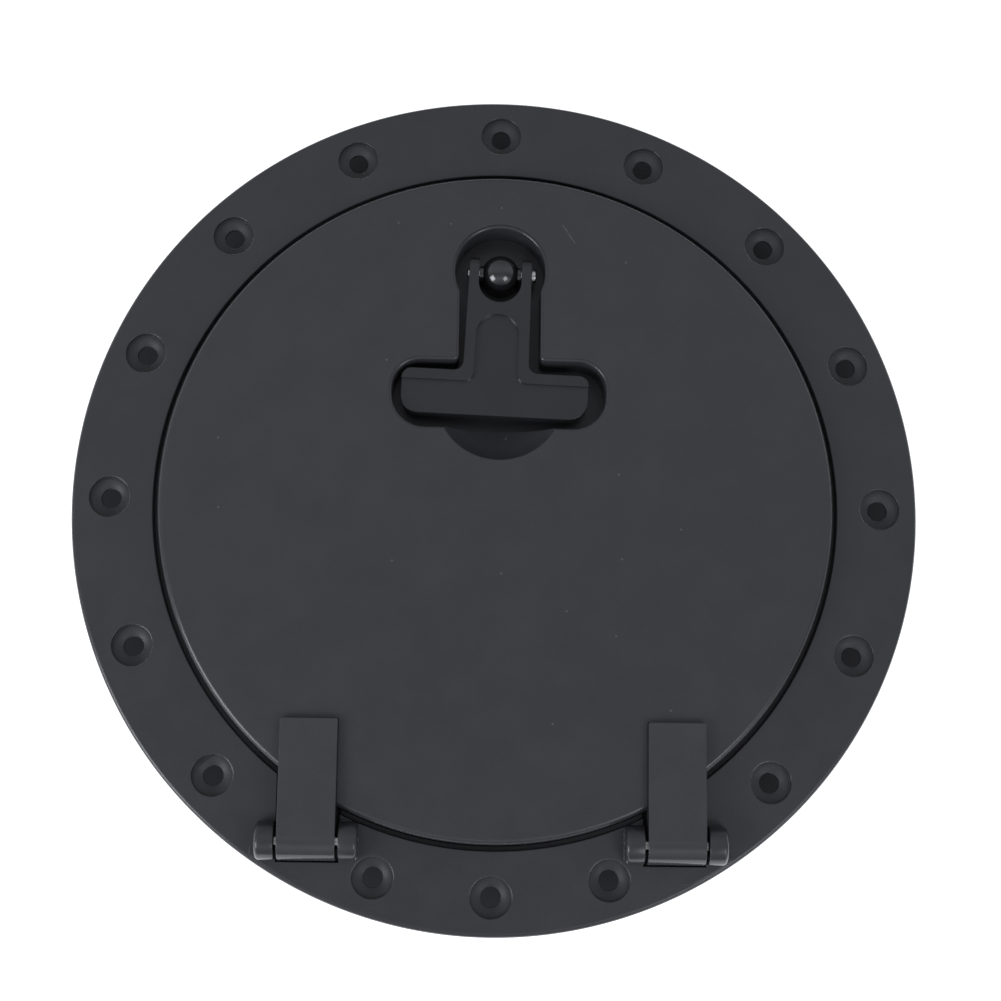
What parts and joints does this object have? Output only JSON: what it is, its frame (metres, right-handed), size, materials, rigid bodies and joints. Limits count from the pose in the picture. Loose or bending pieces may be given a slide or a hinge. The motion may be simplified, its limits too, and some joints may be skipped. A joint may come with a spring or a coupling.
{
  "type": "deck hatch",
  "caption": "Round deck hatch: a screw-down flanged ring with a collar, and a domed lid on pinned hinge arms, locked by a lift-and-turn T-handle that folds flush into a recess.",
  "frame": {"origin": "centre of the screw circle, in the plane of the flange's underside (z = 0 is the deck surface)", "axes": "+Z out of the deck, through the lid; -Y towards the hinges; +Y towards the latch; +X to the right with the hinges nearest"},
  "size_m": [0.27, 0.27, 0.0396],
  "materials": {
    "frame_plastic": "black moulded plastic, satin, very fine grain",
    "lid_plastic": "black moulded plastic with a fine spark-eroded texture",
    "arm_plastic": "black moulded plastic, smooth satin",
    "handle_plastic": "black moulded plastic, satin",
    "spindle_plastic": "black acetal, polished domed head",
    "tongue_plastic": "black glass-filled nylon, satin",
    "bush_plastic": "black acetal, satin",
    "washer_nylon": "natural nylon",
    "seal_rubber": "black EPDM rubber",
    "pin_steel": "stainless steel rod, ground",
    "screw_steel": "stainless steel, as formed"
  },
  "bodies": {
    "root": {"frame_ring": "frame_plastic", "hinge_pin_left": "pin_steel", "hinge_pin_right": "pin_steel"},
    "lid": {"lid": "lid_plastic", "lid_seal": "seal_rubber", "hinge_arm_left": "arm_plastic", "hinge_arm_right": "arm_plastic", "hinge_screws": "screw_steel", "spindle_bush": "bush_plastic"},
    "latch": {"spindle": "spindle_plastic", "spindle_ring": "seal_rubber", "handle_pin": "pin_steel", "thrust_washer": "washer_nylon", "tongue": "tongue_plastic", "tongue_washer": "screw_steel", "spring_washer": "screw_steel", "lock_nut": "screw_steel"},
    "handle": {"t_handle": "handle_plastic"}
  },
  "joints": [
    {"name": "lid_open", "type": "hinge", "parent": "root", "child": "lid", "pos_m": [0, -0.1062, 0.0076], "axis": [1, 0, 0], "range_deg": [0, 120]},
    {"name": "latch_turn", "type": "hinge", "parent": "lid", "child": "latch", "pos_m": [0.0003, 0.0754, 0.0052], "axis": [0, 0, 1], "range_deg": [0, 4]},
    {"name": "handle_flip", "type": "hinge", "parent": "latch", "child": "handle", "pos_m": [0.0003, 0.0754, 0.0052], "axis": [-0.9994, 0.0349, 0], "range_deg": [0, 90]}
  ]
}
